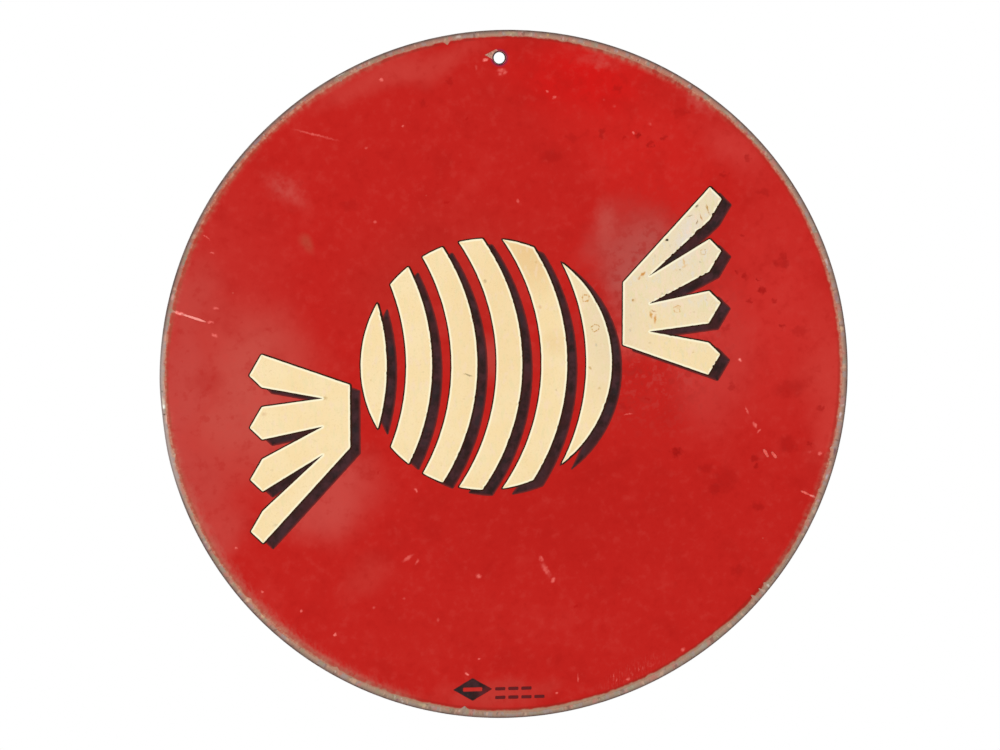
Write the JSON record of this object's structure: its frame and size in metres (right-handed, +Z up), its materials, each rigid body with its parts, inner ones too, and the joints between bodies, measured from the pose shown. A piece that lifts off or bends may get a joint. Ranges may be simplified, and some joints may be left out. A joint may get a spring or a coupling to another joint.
{
  "type": "round steel advertising sign",
  "caption": "Round painted sheet-steel sign with a bare rim, a hanging hole near the top and a plain two-colour printed motif on a red field.",
  "frame": {"origin": "on the axis of the hanging hole, at the steel's back face", "axes": "-Y along the hole's axis, out of the printed face; +Z up, from the disc's centre to the hole; +X to the viewer's right"},
  "size_m": [0.2857, 0.0015, 0.2857],
  "materials": {
    "bare_steel": "satin",
    "ground_coat": "matte",
    "red_enamel": "gloss",
    "black_enamel": "satin",
    "cream_enamel": "gloss"
  },
  "bodies": {
    "root": {"steel_disc": "bare_steel", "back_coat": "ground_coat", "front_primer": "ground_coat", "red_field": "red_enamel", "shadow_round": "black_enamel", "shadow_left_twist": "black_enamel", "shadow_right_twist": "black_enamel", "cream_round": "cream_enamel", "cream_left_twist": "cream_enamel", "cream_right_twist": "cream_enamel", "edge_mark": "black_enamel"}
  },
  "joints": []
}
